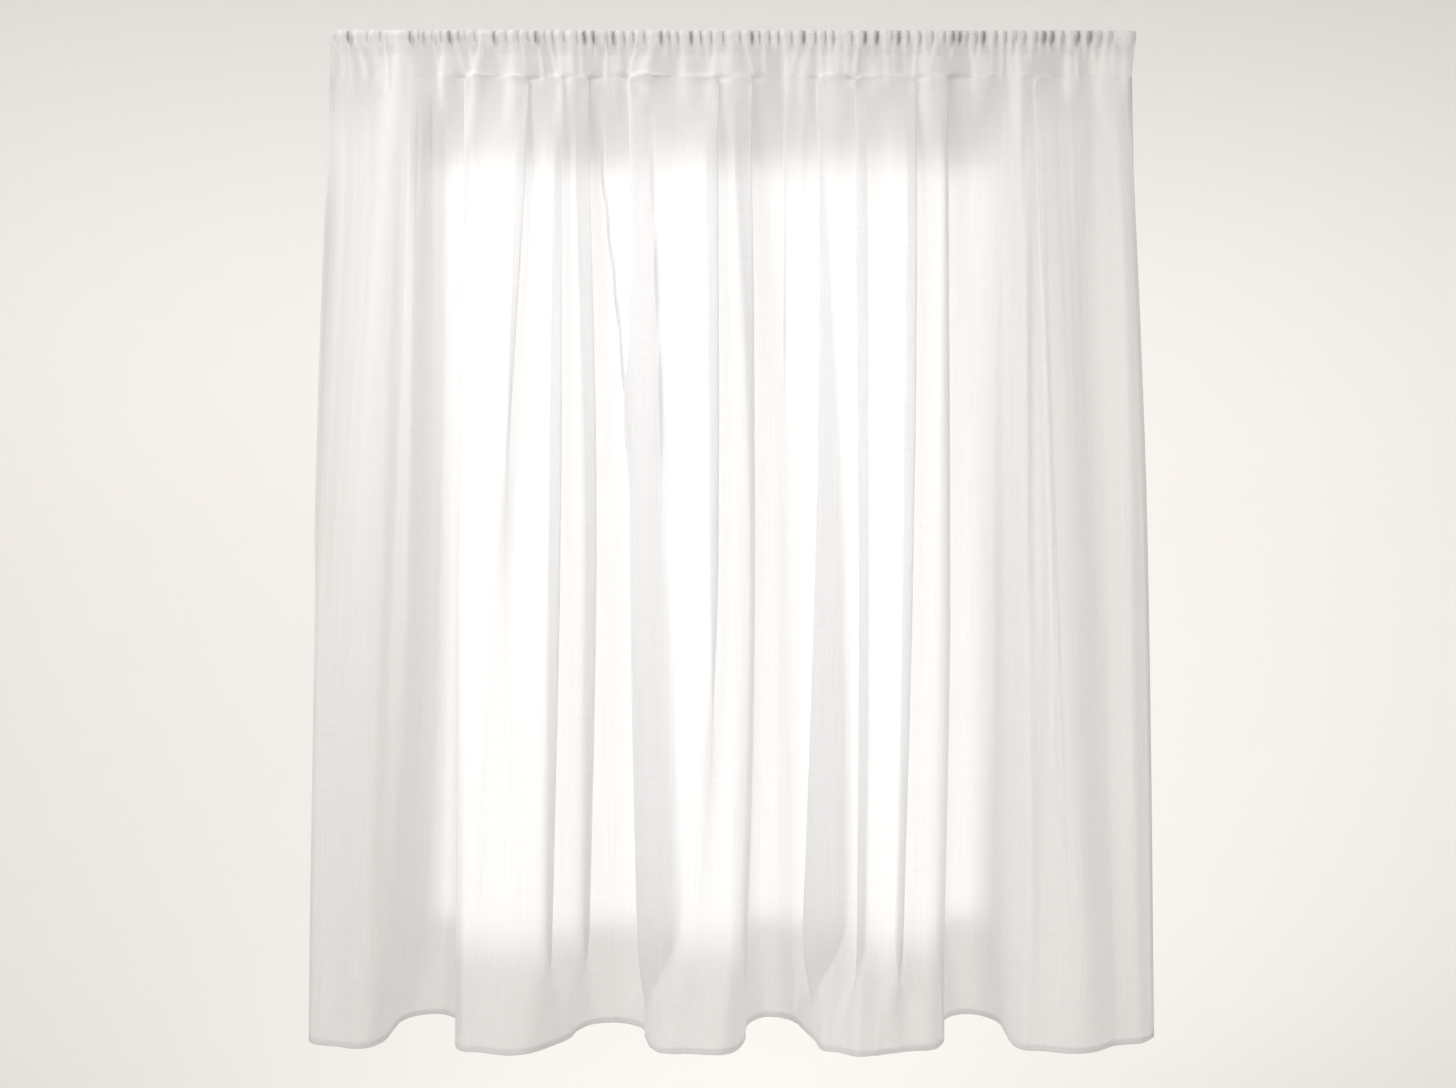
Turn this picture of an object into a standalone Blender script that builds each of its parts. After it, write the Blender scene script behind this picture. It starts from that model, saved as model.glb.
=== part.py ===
"""Sheer voile curtain: one gathered panel and the rod pocket along its top.

Metres, +Z up. X runs across the curtain, -Y faces the room. The origin is the
middle of the curtain's top edge. The tables are in millimetres.
"""

import math
import random
from collections import namedtuple

import bmesh
import bpy
import numpy as np

MM = 0.001

# Heights, as distances below the top edge
DROP = 1.830
POCKET = 0.084
UPPER = 0.260
MIDDLE = 0.968
LOWER = 1.640
HEM = 0.010

# Cloth, at the thickness of a solid sheet
CLOTH = 0.0010
DOUBLED = 0.0020
SEWN_GAP = 0.0003

# Fine gathers that the rod pushes together: how far they stand out at each
# height, and at most for their pitch, and how unevenly they are spread
TOP_HALF_WIDTH = 0.734
GATHER_AT_TOP = 0.0015
GATHER_AT_ROD = 0.0050
GATHER_AT_SEAM = 0.0075
GATHER_STEEPNESS = 0.30
GATHER_STRENGTHS = (0.50, 1.10)
GATHER_RUN_OUTS = (0.057, 0.170)
SLACK_ENDS = 0.045
EVEN_SPREAD = 0.70
GATHER_SHIFT = 0.24
SHIFT_SEED = 5
STRENGTH_SEED = 11

# How round the folds' edges are, as shares of a fold's depth, and at the hem,
# where a deep fold is rounder towards the room. Then where the laps are fully formed.
TURN_SHARE = 0.20
BACK_SHARE_AT_HEM = 0.13
FRONT_SHARE_AT_HEM = 0.30
DEEP_FOLD = 0.060
LAPS_FORMED = 0.215

# Each fold from left to right. across: where the turn on its left stands.
# lap: how far that turn doubles back, or None for a soft slope. Both at UPPER, MIDDLE
# and LOWER. reach: how far its crest stands towards the room, at UPPER, MIDDLE and DROP.
# at_hem: where the turn stands at the hem, and how wide its slope is, as the laps open there.
Fold = namedtuple("Fold", "name across lap reach at_hem")
SOFT = None
FOLDS = (
    Fold("left_edge", (-740, -757, -762), (0, 0, 0), (8, 30, 72), (-762, 0)),
    Fold("lobe_1", (-640, -672, -700), (SOFT, SOFT, SOFT), (24, 58, 90), (-702, 30)),
    Fold("valley_1", (-562, -568, -594), (-26, -28, -26), (-26, -62, -96), (-617, 14)),
    Fold("lobe_2_left", (-484, -499, -506), (11, -8, -14), (24, 66, 104), (-510, 22)),
    Fold("lobe_2_right", (-386, -411, -428), (15, -5, SOFT), (8, 58, 122), (-436, 30)),
    Fold("step_2", (-320, -321, -328), (14, 20, 16), (-12, 24, 42), (-322, 34)),
    Fold("valley_2", (-277, -261, -270), (22, 21, 16), (-34, -34, -46), (-277, 26)),
    Fold("lobe_3_left", (-172, -153, -135), (34, 66, 76), (24, 76, 114), (-165, 22)),
    Fold("lobe_3_right", (-40, -36, -44), (16, 10, SOFT), (4, 52, 120), (-72, 30)),
    Fold("valley_3", (18, 35, 24), (30, 6, 0), (-28, -62, -78), (26, 16)),
    Fold("step_3", (93, 98, 96), (SOFT, SOFT, SOFT), (-8, -40, -44), (100, 20)),
    Fold("lobe_4_left", (158, 172, 164), (8, 50, 84), (14, 52, 102), (134, 24)),
    Fold("lobe_4_middle", (231, 230, 222), (12, 15, 14), (30, 74, 130), (190, 24)),
    Fold("lobe_4_right", (322, 309, 290), (14, 14, 12), (8, 56, 98), (290, 36)),
    Fold("valley_4", (388, 388, 383), (8, 5, -8), (-28, -70, -95), (390, 22)),
    Fold("lobe_5_left", (500, 500, 484), (-24, -24, -22), (18, 54, 99), (487, 12)),
    Fold("lobe_5_middle", (552, 568, 570), (4, 6, SOFT), (28, 72, 114), (555, 30)),
    Fold("right_edge", (632, 652, 662), (SOFT, SOFT, SOFT), (10, 32, 66), (662, 36)),
)
RIGHT_END = (729, 752, 760)
END_REACH = (3, 16, 28)

# The pocket's profile: distance below the top edge, and from its middle to
# each wall. The rod fills its upper part, and the walls meet at the seam.
ROD_ROOM = 0.0105
PocketLine = namedtuple("PocketLine", "below half_gap")
POCKET_LINES = (
    PocketLine(0.0000, 0.0060),
    PocketLine(0.0100, ROD_ROOM + GATHER_AT_ROD),
    PocketLine(0.0240, 0.0125),
    PocketLine(0.0500, 0.0030),
)
POCKET_INSIDE_END = 0.066

# The panel's rows from its seam to its hem, and the points along the cloth
# between two of a fold's own points: fine where it is gathered, then plain
FINE_STEPS = 4
PLAIN_STEPS = 3
HEM_EDGE = 0.0005
FINE_ROWS = (POCKET + SEWN_GAP, 0.118, 0.142, 0.162, 0.184)
PLAIN_ROWS = (0.260, 0.470, 0.730, 0.990, 1.230, 1.440, LOWER, 1.735, DROP - HEM - HEM_EDGE)
HEM_ROWS = (DROP - HEM, DROP)
SIDE_HEM_POINTS = 2

WHITE_VOILE = (0.86, 0.855, 0.84, 1.0)


def smooth(value, low, high):
    """0 at low, 1 at high, with a soft start and end."""
    share = min(max((value - low) / (high - low), 0.0), 1.0)
    return share * share * (3.0 - 2.0 * share)


def at_height(values, below, last=DROP):
    """A table's three values, at UPPER, MIDDLE and last, carried smoothly down the curtain."""
    upper, middle, lower = values
    below = min(below, last)
    if below <= UPPER:
        return upper
    before = (middle - upper) / (MIDDLE - UPPER)
    after = (lower - middle) / (last - MIDDLE)
    turn = 2.0 * before * after / (before + after) if before * after > 0.0 else 0.0
    if below < MIDDLE:
        low, high, start, end = UPPER, MIDDLE, (upper, 1.5 * before - 0.5 * turn), (middle, turn)
    else:
        low, high, start, end = MIDDLE, last, (middle, turn), (lower, 1.5 * after - 0.5 * turn)
    span = high - low
    t = (below - low) / span
    return (
        (2 * t**3 - 3 * t**2 + 1) * start[0]
        + (t**3 - 2 * t**2 + t) * span * start[1]
        + (3 * t**2 - 2 * t**3) * end[0]
        + (t**3 - t**2) * span * end[1]
    )


def gather_shifts(count):
    """How far each gather strays from its even place, in pitches."""
    uneven = random.Random(SHIFT_SEED)
    return [uneven.uniform(-GATHER_SHIFT, GATHER_SHIFT) for _ in range(count)]


def fold_points(below):
    """The points in plan that the cloth passes through, (across, towards the room)."""
    opened = smooth(below, LOWER, DROP)
    across = []
    for fold in FOLDS:
        place = at_height(fold.across, below, LOWER)
        across.append((place + (fold.at_hem[0] - place) * opened) * MM)
    across.append(at_height(RIGHT_END, below) * MM)
    reach = [at_height(fold.reach, below) * MM for fold in FOLDS]
    end_reach = at_height(END_REACH, below) * MM
    crest = [(a + b) / 2 for a, b in zip(across, across[1:])]
    lapped = smooth(below, POCKET, LAPS_FORMED)
    near_hem = smooth(below, MIDDLE, DROP)

    points = [(across[0], (end_reach + reach[0]) / 2)]
    widths = {}
    for i, fold in enumerate(FOLDS):
        if i == 0:
            continue
        soft = (crest[i] - crest[i - 1]) / 3
        laps = [soft if lap is None else -lap * MM for lap in fold.lap]
        full = at_height(laps, below, LOWER)
        full += (fold.at_hem[1] * MM - full) * opened
        widths[i] = soft + (full - soft) * lapped
    for i in range(len(FOLDS)):
        left = across[i]
        right = across[i + 1]
        if i > 0:
            step = reach[i] - reach[i - 1]
            rounder = near_hem * min(abs(step) / DEEP_FOLD, 1.0)
            back_share = TURN_SHARE + (BACK_SHARE_AT_HEM - TURN_SHARE) * rounder
            front_share = TURN_SHARE + (FRONT_SHARE_AT_HEM - TURN_SHARE) * rounder
            shares = (back_share, front_share) if step > 0.0 else (front_share, back_share)
            points.append((left - widths[i] / 2, reach[i - 1] + shares[0] * step))
            points.append((left + widths[i] / 2, reach[i] - shares[1] * step))
            left += widths[i] / 2
        if i + 1 < len(FOLDS):
            right -= widths[i + 1] / 2
        points.append(((left + right) / 2, reach[i]))
    points.append((across[-1], end_reach))

    hung = smooth(below, 0.0, UPPER)
    gathered = 1.0 - hung
    last = len(points) - 1
    pitch = 2.0 * TOP_HALF_WIDTH / last
    shifts = [0.0] + gather_shifts(last - 1) + [0.0]
    placed = []
    for i, (x, y) in enumerate(points):
        even = i * pitch - TOP_HALF_WIDTH
        x += (even - x) * EVEN_SPREAD * gathered
        placed.append((x + shifts[i] * pitch * gathered, y * hung))
    return np.array(placed)


def curve_through(points, steps):
    """A natural cubic spline through the points, with steps pieces between two."""
    chord = np.maximum(np.linalg.norm(np.diff(points, axis=0), axis=1), 1e-5)
    count = len(points)
    matrix = np.eye(count)
    wanted = np.zeros((count, 2))
    for i in range(1, count - 1):
        matrix[i, i - 1 : i + 2] = chord[i - 1], 2 * (chord[i - 1] + chord[i]), chord[i]
        after = (points[i + 1] - points[i]) / chord[i]
        before = (points[i] - points[i - 1]) / chord[i - 1]
        wanted[i] = 6 * (after - before)
    bend = np.linalg.solve(matrix, wanted)
    curve = []
    for i in range(count - 1):
        for step in range(steps):
            t = step / steps
            a = 1.0 - t
            pull = ((a**3 - a) * bend[i] + (t**3 - t) * bend[i + 1]) * chord[i] ** 2 / 6
            curve.append(a * points[i] + t * points[i + 1] + pull)
    curve.append(points[-1])
    return np.array(curve)


def sideways(curve):
    """Unit vectors square to the cloth in plan, pointing towards the room."""
    along = np.gradient(curve, axis=0)
    along /= np.linalg.norm(along, axis=1)[:, None]
    return np.stack([-along[:, 1], along[:, 0]], axis=1)


def gather_strengths(count):
    """How strongly each gather stands out, and how far down it runs."""
    uneven = random.Random(STRENGTH_SEED)
    return [
        (uneven.uniform(*GATHER_STRENGTHS), uneven.uniform(*GATHER_RUN_OUTS))
        for _ in range(count)
    ]


def cloth_row(below, steps):
    """The cloth in plan at one height, gathers on top of the main folds."""
    points = fold_points(below)
    curve = curve_through(points, steps)
    strengths = gather_strengths(len(points) - 1)
    height = GATHER_AT_TOP
    height += (GATHER_AT_ROD - GATHER_AT_TOP) * smooth(below, 0.0, POCKET_LINES[1].below)
    height += (GATHER_AT_SEAM - GATHER_AT_ROD) * smooth(below, POCKET_LINES[1].below, POCKET)
    out = sideways(curve)
    row = curve.copy()
    for j in range(len(curve)):
        gather = min(j // steps, len(strengths) - 1)
        strength, run_out = strengths[gather]
        pitch = np.linalg.norm(points[gather + 1] - points[gather])
        from_end = min(curve[j][0] - curve[0][0], curve[-1][0] - curve[j][0])
        slack = smooth(from_end, 0.0, SLACK_ENDS)
        fade = math.exp(-((max(below - POCKET, 0.0) / run_out) ** 2))
        size = min(height, GATHER_STEEPNESS * pitch) * strength * slack * fade
        row[j] += out[j] * size * math.sin(2.0 * math.pi * (j % steps) / steps)
    return row


def zip_rows(mesh, first, second, flip=False):
    """Triangles between two rows of vertices that may differ in number.

    The diagonals depend only on the counts, so a sheet's two faces stay parallel.
    """
    i = j = 0
    while i < len(first) - 1 or j < len(second) - 1:
        first_next = (i + 1) * (len(second) - 1)
        second_next = (j + 1) * (len(first) - 1)
        if i < len(first) - 1 and first_next < second_next:
            corners = [first[i], second[j], first[i + 1]]
            i += 1
        else:
            corners = [first[i], second[j], second[j + 1]]
            j += 1
        mesh.faces.new(corners[::-1] if flip else corners)


def add_vertices(mesh, plan, below):
    """One row of vertices. Towards the room is -Y."""
    return [mesh.verts.new((x, -y, -below)) for x, y in plan]


def finish(mesh, name, material):
    """Closes the mesh's faces off as one object."""
    bmesh.ops.triangulate(mesh, faces=mesh.faces[:])
    bmesh.ops.recalc_face_normals(mesh, faces=mesh.faces[:])
    data = bpy.data.meshes.new(name)
    mesh.to_mesh(data)
    mesh.free()
    data.shade_smooth()
    data.materials.append(material)
    part = bpy.data.objects.new(name, data)
    bpy.context.scene.collection.objects.link(part)
    return part


def voile(name, colour):
    material = bpy.data.materials.new(name)
    material.use_nodes = True
    shader = material.node_tree.nodes["Principled BSDF"]
    shader.inputs["Base Color"].default_value = colour
    shader.inputs["Roughness"].default_value = 0.9
    shader.inputs["Metallic"].default_value = 0.0
    return material


def voile_panel(material):
    """The single sheet from the pocket's seam to the hem, its hem and sides doubled."""
    mesh = bmesh.new()
    heights = [(below, FINE_STEPS, CLOTH) for below in FINE_ROWS]
    heights += [(below, PLAIN_STEPS, CLOTH) for below in PLAIN_ROWS]
    heights += [(below, PLAIN_STEPS, DOUBLED) for below in HEM_ROWS]
    fronts = []
    backs = []
    for below, steps, thickness in heights:
        row = cloth_row(below, steps)
        half = np.full(len(row), thickness / 2)
        half[:SIDE_HEM_POINTS] = DOUBLED / 2
        half[-SIDE_HEM_POINTS:] = DOUBLED / 2
        offset = sideways(row) * half[:, None]
        fronts.append(add_vertices(mesh, row + offset, below))
        backs.append(add_vertices(mesh, row - offset, below))
    for i in range(len(heights) - 1):
        zip_rows(mesh, fronts[i], fronts[i + 1])
        zip_rows(mesh, backs[i], backs[i + 1], flip=True)
        for end in (0, -1):
            corners = [fronts[i][end], backs[i][end], backs[i + 1][end], fronts[i + 1][end]]
            mesh.faces.new(corners)
    zip_rows(mesh, fronts[0], backs[0])
    zip_rows(mesh, fronts[-1], backs[-1], flip=True)
    return finish(mesh, "voile_panel", material)


def pocket_wall(line, side, inner):
    """One wall's outer or inner face in plan, at one of the pocket's heights."""
    row = cloth_row(line.below, FINE_STEPS)
    row[:, 1] += side * line.half_gap
    return row + sideways(row) * side * (-CLOTH if inner else CLOTH) / 2


def rod_pocket(material):
    """The doubled top of the cloth: a gathered sleeve, open at both ends."""
    mesh = bmesh.new()
    top = POCKET_LINES[0]
    seam = PocketLine(POCKET, CLOTH / 2)
    outside = []
    inside = []
    for side in (1, -1):
        outer = [add_vertices(mesh, pocket_wall(top, side, False), 0.0)]
        inner = [add_vertices(mesh, pocket_wall(top, side, True), CLOTH)]
        for line in POCKET_LINES[1:]:
            outer.append(add_vertices(mesh, pocket_wall(line, side, False), line.below))
            inner.append(add_vertices(mesh, pocket_wall(line, side, True), line.below))
        outer.append(add_vertices(mesh, pocket_wall(seam, side, False), POCKET))
        outside.append(outer)
        inside.append(inner)
    low_middle = add_vertices(mesh, cloth_row(POCKET_INSIDE_END, FINE_STEPS), POCKET_INSIDE_END)
    outer_loop = outside[0] + outside[1][::-1]
    inner_loop = inside[0] + [low_middle] + inside[1][::-1]
    for loop in (outer_loop, inner_loop):
        for first, second in zip(loop, loop[1:] + loop[:1]):
            zip_rows(mesh, first, second)
    for end in (0, -1):
        edges = []
        for loop in (outer_loop, inner_loop):
            ring = [row[end] for row in loop]
            for a, b in zip(ring, ring[1:] + ring[:1]):
                edges.append(mesh.edges.get((a, b)))
        bmesh.ops.bridge_loops(mesh, edges=edges)
    return finish(mesh, "rod_pocket", material)


def clear_scene():
    for old in list(bpy.data.objects):
        bpy.data.objects.remove(old, do_unlink=True)


def main():
    clear_scene()
    cloth = voile("white_voile", WHITE_VOILE)
    rod_pocket(cloth)
    voile_panel(cloth)


main()
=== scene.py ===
"""The looks of a sheer voile curtain: a thin gathered sheet on the folds of its solids.

Metres, +Z up. X runs across the curtain, -Y faces the room, and the origin is the
middle of the top edge. The tables of folds, gathers, creases, pleats, dents and painted
seam shadows are in millimetres, and so is each value whose comment says so.
"""

import math
import random
from collections import namedtuple

import bpy
import numpy as np
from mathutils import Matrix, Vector


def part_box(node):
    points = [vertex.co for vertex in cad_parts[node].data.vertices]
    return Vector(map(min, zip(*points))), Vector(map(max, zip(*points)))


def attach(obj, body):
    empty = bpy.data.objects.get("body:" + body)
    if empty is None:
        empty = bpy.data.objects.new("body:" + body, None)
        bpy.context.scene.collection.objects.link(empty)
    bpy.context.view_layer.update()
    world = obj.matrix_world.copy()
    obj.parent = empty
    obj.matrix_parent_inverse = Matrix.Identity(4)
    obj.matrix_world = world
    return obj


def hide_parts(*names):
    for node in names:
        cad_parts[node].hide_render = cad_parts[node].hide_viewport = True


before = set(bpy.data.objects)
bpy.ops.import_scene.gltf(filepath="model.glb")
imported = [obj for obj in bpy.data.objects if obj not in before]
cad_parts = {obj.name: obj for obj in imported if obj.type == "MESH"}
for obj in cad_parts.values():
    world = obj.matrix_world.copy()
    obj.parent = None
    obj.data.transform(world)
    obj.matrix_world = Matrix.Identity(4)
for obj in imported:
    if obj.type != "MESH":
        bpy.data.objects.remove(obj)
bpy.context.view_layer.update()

MM = 0.001

# Distances below the top edge: the seam, the lower edge, and where the tables give the folds
POCKET = -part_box("rod_pocket")[0].z
DROP = -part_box("voile_panel")[0].z
UPPER = 0.260
MIDDLE = 0.968
LOWER = 1.640

# The cloth as it was cut, how wide its turned edges are, and how far apart its layers lie
CUT_WIDTH = 2.80
HEM = 0.010
SIDE_HEM = 0.012
LAYER_GAP = 0.0007

# How round a fold's edges are, as shares of its depth. The first holds all down the
# curtain. The others are for its back and front edge at the hem, once it is DEEP_FOLD deep.
TURN_SHARE = 0.20
BACK_SHARE_AT_HEM = 0.13
FRONT_SHARE_AT_HEM = 0.30
DEEP_FOLD = 0.060

# How many soft slopes would fit side by side between two crests
SLOPES_BETWEEN_CRESTS = 3

# From and to which distances below the top edge the folds take on their depth,
# the slopes between them their widths, and the laps their doubled cloth
HUNG = (0.75 * POCKET, UPPER)
STEPS_FORMED = (0.020, POCKET)
LAPS_FORMED = (POCKET, 0.140)

# At the top edge the cloth is spread evenly over this half width, and from SPREAD_ENDS
# down as its folds are
TOP_HALF_WIDTH = 0.734
SPREAD_ENDS = 0.090

# Each fold from left to right. across: where the turn on its left stands.
# lap: how far that turn doubles back, or below 0, how wide its slope is, or SOFT for
# a slope as wide as its crests allow. Both at UPPER, MIDDLE and LOWER.
# reach: how far its crest stands towards the room, at UPPER, MIDDLE and DROP.
# at_hem: where the turn stands at the hem, and how wide its slope is, as the laps open there.
Fold = namedtuple("Fold", "name across lap reach at_hem")
SOFT = None
FOLDS = (
    Fold("left_edge", (-740, -757, -762), (0, 0, 0), (8, 30, 72), (-762, 0)),
    Fold("lobe_1", (-640, -672, -700), (SOFT, SOFT, SOFT), (24, 58, 90), (-702, 30)),
    Fold("valley_1", (-562, -568, -594), (-26, -28, -26), (-26, -62, -96), (-617, 14)),
    Fold("lobe_2_left", (-484, -499, -506), (11, -8, -14), (24, 66, 104), (-510, 22)),
    Fold("lobe_2_right", (-386, -411, -428), (15, -5, SOFT), (8, 58, 122), (-436, 30)),
    Fold("step_2", (-320, -321, -328), (14, 20, 16), (-12, 24, 42), (-322, 34)),
    Fold("valley_2", (-277, -261, -270), (22, 21, 16), (-34, -34, -46), (-277, 26)),
    Fold("lobe_3_left", (-172, -153, -135), (34, 66, 76), (24, 76, 114), (-165, 22)),
    Fold("lobe_3_right", (-40, -36, -44), (16, 10, SOFT), (4, 52, 120), (-72, 30)),
    Fold("valley_3", (18, 35, 24), (30, 6, 0), (-28, -62, -78), (26, 16)),
    Fold("step_3", (93, 98, 96), (SOFT, SOFT, SOFT), (-8, -40, -44), (100, 20)),
    Fold("lobe_4_left", (158, 172, 164), (8, 50, 84), (14, 52, 102), (134, 24)),
    Fold("lobe_4_middle", (231, 230, 222), (12, 15, 14), (30, 74, 130), (190, 24)),
    Fold("lobe_4_right", (322, 309, 290), (14, 14, 12), (8, 56, 98), (290, 36)),
    Fold("valley_4", (388, 388, 383), (8, 5, -8), (-28, -70, -95), (390, 22)),
    Fold("lobe_5_left", (500, 500, 484), (-24, -24, -22), (18, 54, 99), (487, 12)),
    Fold("lobe_5_middle", (552, 568, 570), (4, 6, SOFT), (28, 72, 114), (555, 30)),
    Fold("right_edge", (632, 652, 662), (SOFT, SOFT, SOFT), (10, 32, 66), (662, 36)),
)

# The right-hand edge at UPPER, MIDDLE and DROP: where it stands, and how far towards the room
RIGHT_END = (729, 752, 760)
END_REACH = (3, 16, 28)

# The fine gathers, from left to right. at_rod, at_seam, at_end: where the ridge
# stands at the rod's height, at the seam and where it runs out.
# end: how far below the top edge that is. wide: half its width at the seam.
# rise: how far it stands out at the rod and at the seam.
Gather = namedtuple("Gather", "at_rod at_seam at_end end wide rise")
GATHERS = (
    Gather(-722, -722, -722, 110, 6, (3, 4)),
    Gather(-709, -709, -708, 150, 6, (3, 4)),
    Gather(-692, -682, -680, 105, 6, (7, 6)),
    Gather(-664, -655, -652, 120, 9, (6, 4)),
    Gather(-641, -641, -640, 130, 4, (8, 6)),
    Gather(-616, -621, -625, 200, 9, (8, 7)),
    Gather(-574, -573, -573, 60, 5, (6, 1)),
    Gather(-550, -547, -547, 80, 5, (6, 3)),
    Gather(-531, -541, -541, 175, 6, (9, 8)),
    Gather(-513, -500, -497, 120, 7, (6, 3)),
    Gather(-489, -482, -480, 100, 5, (8, 6)),
    Gather(-464, -480, -488, 260, 6, (9, 8)),
    Gather(-433, -426, -420, 110, 9, (5, 3)),
    Gather(-409, -410, -420, 240, 8, (9, 7)),
    Gather(-391, -386, -386, 75, 5, (7, 2)),
    Gather(-360, -357, -355, 120, 4, (7, 5)),
    Gather(-341, -331, -329, 110, 5, (8, 5)),
    Gather(-323, -323, -322, 240, 6, (7, 6)),
    Gather(-301, -303, -304, 150, 6, (9, 7)),
    Gather(-283, -284, -284, 90, 5, (6, 3)),
    Gather(-266, -268, -268, 60, 4, (6, 1)),
    Gather(-253, -257, -258, 75, 4, (7, 2)),
    Gather(-235, -240, -240, 125, 4, (8, 8)),
    Gather(-212, -215, -214, 100, 6, (5, 3)),
    Gather(-194, -197, -198, 70, 4, (7, 2)),
    Gather(-178, -195, -192, 240, 5, (9, 7)),
    Gather(-151, -166, -176, 190, 7, (9, 8)),
    Gather(-128, -130, -130, 70, 5, (6, 2)),
    Gather(-112, -112, -112, 60, 5, (5, 1)),
    Gather(-95, -96, -96, 180, 7, (8, 6)),
    Gather(-68, -66, -64, 80, 8, (5, 3)),
    Gather(-51, -50, -50, 70, 5, (7, 2)),
    Gather(-34, -40, -42, 150, 6, (8, 6)),
    Gather(-7, -13, -18, 170, 8, (9, 7)),
    Gather(19, 30, 32, 200, 6, (6, 4)),
    Gather(53, 54, 54, 85, 6, (7, 3)),
    Gather(74, 74, 74, 55, 6, (5, 1)),
    Gather(92, 95, 100, 180, 7, (9, 6)),
    Gather(115, 104, 104, 90, 6, (7, 3)),
    Gather(139, 124, 130, 240, 9, (5, 4)),
    Gather(156, 156, 162, 170, 6, (9, 7)),
    Gather(174, 174, 174, 130, 5, (9, 6)),
    Gather(189, 183, 180, 120, 8, (8, 7)),
    Gather(204, 206, 208, 85, 8, (5, 3)),
    Gather(227, 217, 214, 130, 5, (9, 6)),
    Gather(252, 252, 252, 60, 6, (5, 1)),
    Gather(275, 278, 277, 120, 7, (8, 7)),
    Gather(290, 292, 294, 100, 8, (5, 3)),
    Gather(312, 314, 316, 90, 6, (6, 3)),
    Gather(333, 327, 326, 130, 5, (9, 7)),
    Gather(348, 354, 358, 200, 6, (9, 8)),
    Gather(370, 356, 356, 110, 6, (8, 5)),
    Gather(400, 398, 398, 70, 6, (6, 3)),
    Gather(433, 440, 439, 140, 6, (9, 7)),
    Gather(450, 443, 443, 80, 5, (8, 4)),
    Gather(472, 470, 468, 110, 7, (5, 3)),
    Gather(491, 488, 490, 110, 5, (8, 5)),
    Gather(505, 505, 505, 110, 6, (8, 5)),
    Gather(519, 521, 512, 260, 7, (9, 9)),
    Gather(544, 544, 545, 75, 7, (8, 3)),
    Gather(562, 562, 562, 60, 5, (6, 1)),
    Gather(578, 578, 578, 55, 4, (6, 1)),
    Gather(596, 596, 596, 60, 5, (6, 1)),
    Gather(614, 612, 611, 160, 7, (9, 7)),
    Gather(628, 628, 628, 120, 5, (4, 4)),
    Gather(643, 645, 645, 70, 5, (7, 2)),
    Gather(659, 658, 657, 100, 6, (8, 5)),
    Gather(682, 674, 668, 160, 8, (9, 8)),
    Gather(695, 696, 698, 110, 7, (4, 4)),
    Gather(716, 716, 714, 150, 9, (4, 6)),
)

# Broad soft gathers below the seam: across there and where they run out, how far down
# that is, how wide they are and how far they rise
Broad = namedtuple("Broad", "across at_end end wide rise")
BROADS = (
    Broad(-628, -634, 300, 24, 11),
    Broad(-541, -541, 180, 12, 7),
    Broad(-484, -488, 260, 10, 7),
    Broad(-414, -420, 240, 15, 9),
    Broad(-318, -314, 260, 13, 9),
    Broad(-232, -232, 180, 12, 5),
    Broad(-180, -180, 240, 17, 9),
    Broad(-98, -98, 180, 14, 5),
    Broad(-32, -24, 260, 24, 11),
    Broad(95, 98, 150, 12, 7),
    Broad(122, 126, 220, 12, 5),
    Broad(176, 178, 250, 20, 11),
    Broad(250, 246, 150, 14, 5),
    Broad(346, 352, 260, 19, 11),
    Broad(446, 442, 180, 12, 7),
    Broad(516, 508, 300, 14, 11),
    Broad(610, 610, 160, 12, 5),
    Broad(678, 690, 330, 20, 11),
)

# Soft creases that run down the sheet: across at UPPER, MIDDLE and DROP, from and to,
# how wide they are, and how far they rise, or below 0, sink
Crease = namedtuple("Crease", "across start end wide rise")
CREASES = (
    Crease((-745, -757, -760), 160, 1100, 20, 13),
    Crease((-597, -612, -630), 110, 1800, 13, -8),
    Crease((-574, -582, -600), 90, 1800, 11, 9),
    Crease((432, 430, 430), 120, 1000, 12, -4),
    Crease((497, 488, 492), 90, 1500, 10, -8),
    Crease((535, 521, 524), 60, 1780, 11, 11),
    Crease((536, 540, 545), 150, 1200, 8, -4),
    Crease((556, 568, 592), 100, 1780, 4, 3.5),
    Crease((636, 640, 650), 110, 1780, 26, -11),
    Crease((704, 714, 718), 80, 1780, 20, 10),
    Crease((236, 240, 262), 1500, 2000, 26, -8),
)

# Narrow pleats in the sheet: across at UPPER, MIDDLE and DROP, from and to, and over
# how wide a stretch the cloth doubles back how far. PLEAT_DEEP, in millimetres, is
# how far it then moves towards the room on one side and away from it on the other.
Pleat = namedtuple("Pleat", "across start end wide over")
PLEATS = (
    Pleat((-242, -184, -176), 70, 900, 10, 24),
    Pleat((-148, -122, -110), 80, 1000, 7, 20),
    Pleat((94, 94, 94), 80, 700, 9, 17),
)
PLEAT_DEEP = 10.0

# Over what share of its length a crease or pleat fades in at its top and out at its foot
CREASE_FADE = 0.25

# Below the top edge: the rod's middle, the end of the band that it presses,
# and where the gathers are free of it
ROD_LINE = 0.013
ROD_BAND_END = 0.020
FREED_END = 0.034

# A fine gather's width, in shares of the one in its table: at the rod,
# and how much is added by the seam and again by its end
WIDE_AT_ROD = 0.62
WIDER_AT_SEAM = 0.50
WIDER_AT_END = 0.7

# A gather that ends in the pocket keeps its height down to this share of its length.
# The others keep it nearly to the seam, where the pocket's layers come together too.
SHORT_GATHER_KEPT = 0.45
NEAR_SEAM = 0.9

# The shares in which fine and broad gathers add up, the height that they come near
# but don't pass, and the mean height, which is taken off again
RIDGE_SHARE = 0.62
BROAD_SHARE = 0.60
HIGHEST = 0.010
MEAN_GATHER = 0.0034

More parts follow.
